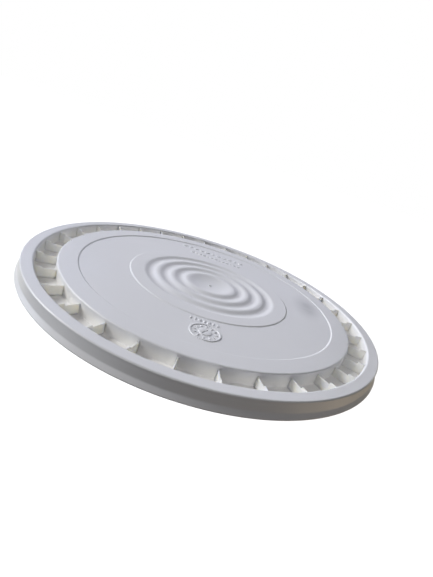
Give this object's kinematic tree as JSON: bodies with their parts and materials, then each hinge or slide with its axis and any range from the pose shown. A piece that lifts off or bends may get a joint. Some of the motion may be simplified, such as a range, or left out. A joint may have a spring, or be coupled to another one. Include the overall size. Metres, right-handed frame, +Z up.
{
  "type": "pail lid",
  "caption": "Round press-on pail lid: flat rippled panel, gutter with radial ribs, hollow rim with a flared skirt, and a removable seal ring under the rim.",
  "frame": {"origin": "on the lid's axis, in the plane that the foot of the skirt stands on", "axes": "+Z up, out of the lid's top face; +X along one rib, and -Y towards the side with the date wheel"},
  "size_m": [0.3142, 0.3142, 0.0122],
  "materials": {
    "lid_plastic": "satin moulded polyolefin, white",
    "seal_rubber": "matt grey-black seal rubber"
  },
  "bodies": {
    "lid": {"gate_nipple": "lid_plastic", "ripple_dish": "lid_plastic", "centre_plateau": "lid_plastic", "recessed_panel": "lid_plastic", "raised_panel": "lid_plastic", "panel_wall": "lid_plastic", "gutter_floor": "lid_plastic", "radial_ribs": "lid_plastic", "plug_wall": "lid_plastic", "rim_flange": "lid_plastic", "skirt": "lid_plastic", "skirt_flare": "lid_plastic", "snap_beads": "lid_plastic", "mould_date_wheel": "lid_plastic", "near_bars": "lid_plastic", "far_bars_large": "lid_plastic", "far_bars_small": "lid_plastic"},
    "seal": {"seal_ring": "seal_rubber"}
  },
  "joints": [
    {"name": "seal_pull", "type": "slide", "parent": "lid", "child": "seal", "axis": [0, 0, -1], "range_m": [0, 0.02]}
  ]
}
